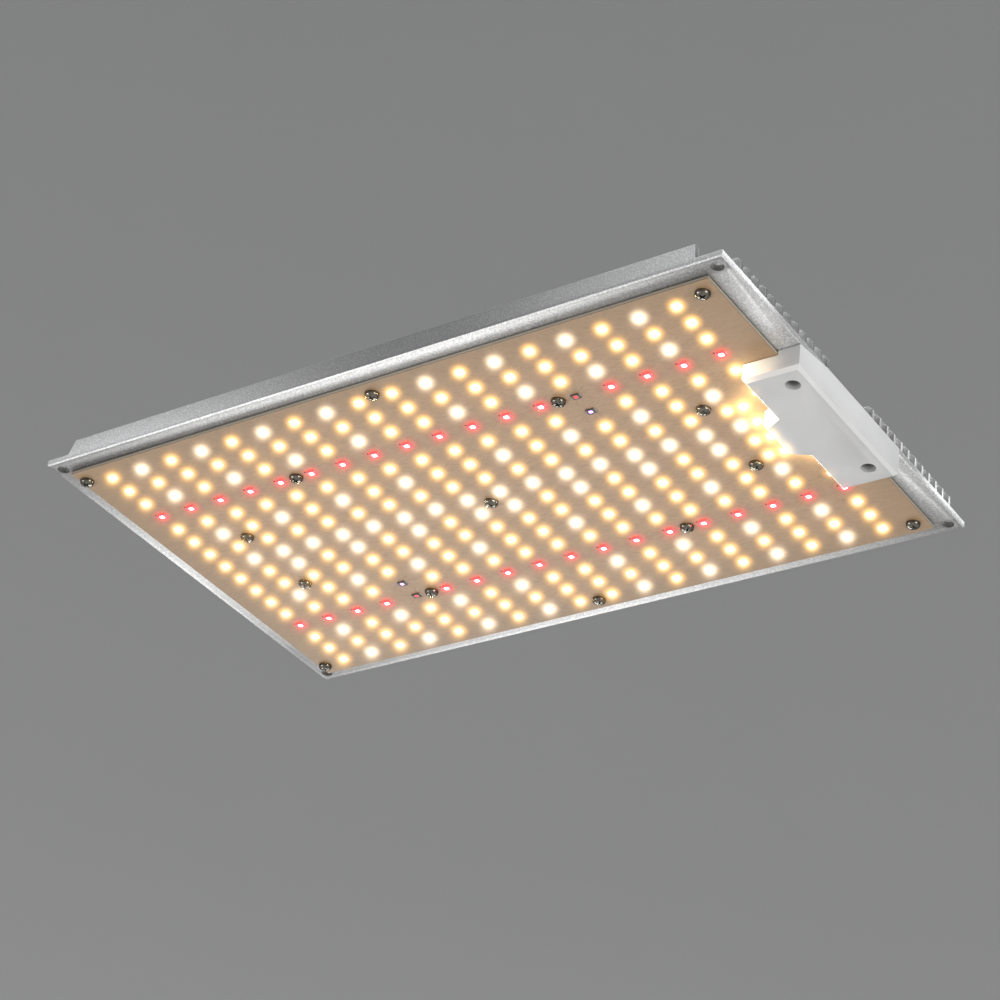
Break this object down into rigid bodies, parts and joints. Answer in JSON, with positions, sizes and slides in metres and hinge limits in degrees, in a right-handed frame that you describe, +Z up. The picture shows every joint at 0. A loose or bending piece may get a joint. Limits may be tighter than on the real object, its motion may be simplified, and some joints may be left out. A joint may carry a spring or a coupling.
{
  "type": "led grow light",
  "caption": "Flat rectangular LED panel lamp with a finned aluminium back, a white cable cover at one short edge and a black driver box on the back.",
  "frame": {"origin": "under the middle of the heatsink plate, level with the lowest face of the terminal cover", "axes": "+X along the long side towards the terminal cover, +Y along the short side, +Z up towards the fins and the driver; the LEDs face -Z"},
  "size_m": [0.3028, 0.18, 0.0502],
  "materials": {
    "heatsink_aluminium": "satin, lightly blasted",
    "pad_silicone": "matte",
    "board_face": "satin solder mask",
    "screw_steel": "polished",
    "cover_white": "fine moulded texture",
    "terminal_white": "moulded",
    "cable_black": "matte",
    "driver_black": "fine textured powder coat",
    "label_foil": "brushed foil, blank",
    "spacer_aluminium": "turned",
    "driver_board": "satin solder mask",
    "ferrite": "matte",
    "winding_tape": "gloss tape",
    "winding_copper": "enamelled",
    "capacitor_sleeve": "gloss sleeve",
    "pin_brass": "plated",
    "core_red": "satin",
    "core_brown": "satin",
    "core_blue": "satin",
    "core_green": "satin"
  },
  "bodies": {
    "root": {"heatsink": "heatsink_aluminium", "thermal_pad": "pad_silicone", "led_board": "board_face", "board_screw_01": "screw_steel", "board_screw_02": "screw_steel", "board_screw_03": "screw_steel", "board_screw_04": "screw_steel", "board_screw_05": "screw_steel", "board_screw_06": "screw_steel", "board_screw_07": "screw_steel", "board_screw_08": "screw_steel", "board_screw_09": "screw_steel", "board_screw_10": "screw_steel", "board_screw_11": "screw_steel", "board_screw_12": "screw_steel", "board_screw_13": "screw_steel", "board_screw_14": "screw_steel", "board_screw_15": "screw_steel", "cover_screw_1": "screw_steel", "cover_screw_2": "screw_steel", "terminal_cover": "cover_white", "board_terminal": "terminal_white", "dc_cable": "cable_black", "dc_wire_pos": "core_red", "dc_wire_neg": "cable_black", "cable_grommet": "cable_black", "driver_tray": "driver_black", "driver_lid": "driver_black", "driver_label": "label_foil", "driver_lid_screw_1": "screw_steel", "driver_lid_screw_2": "screw_steel", "driver_lid_screw_3": "screw_steel", "driver_lid_screw_4": "screw_steel", "driver_foot_screw_1": "screw_steel", "driver_foot_screw_2": "screw_steel", "driver_foot_screw_3": "screw_steel", "driver_foot_screw_4": "screw_steel", "driver_spacer_1": "spacer_aluminium", "driver_spacer_2": "spacer_aluminium", "driver_spacer_3": "spacer_aluminium", "driver_spacer_4": "spacer_aluminium", "driver_board": "driver_board", "transformer_core": "ferrite", "transformer_winding": "winding_tape", "input_capacitor": "capacitor_sleeve", "output_capacitor": "capacitor_sleeve", "filter_choke": "winding_copper", "power_transistor": "ferrite", "dc_gland": "cable_black", "ac_gland": "cable_black", "ac_lead": "cable_black", "ac_connector": "cable_black", "connector_pin_1": "pin_brass", "connector_pin_2": "pin_brass", "connector_pin_3": "pin_brass", "output_core_pos": "core_red", "output_core_neg": "cable_black", "mains_core_live": "core_brown", "mains_core_neutral": "core_blue", "mains_core_earth": "core_green"}
  },
  "joints": []
}
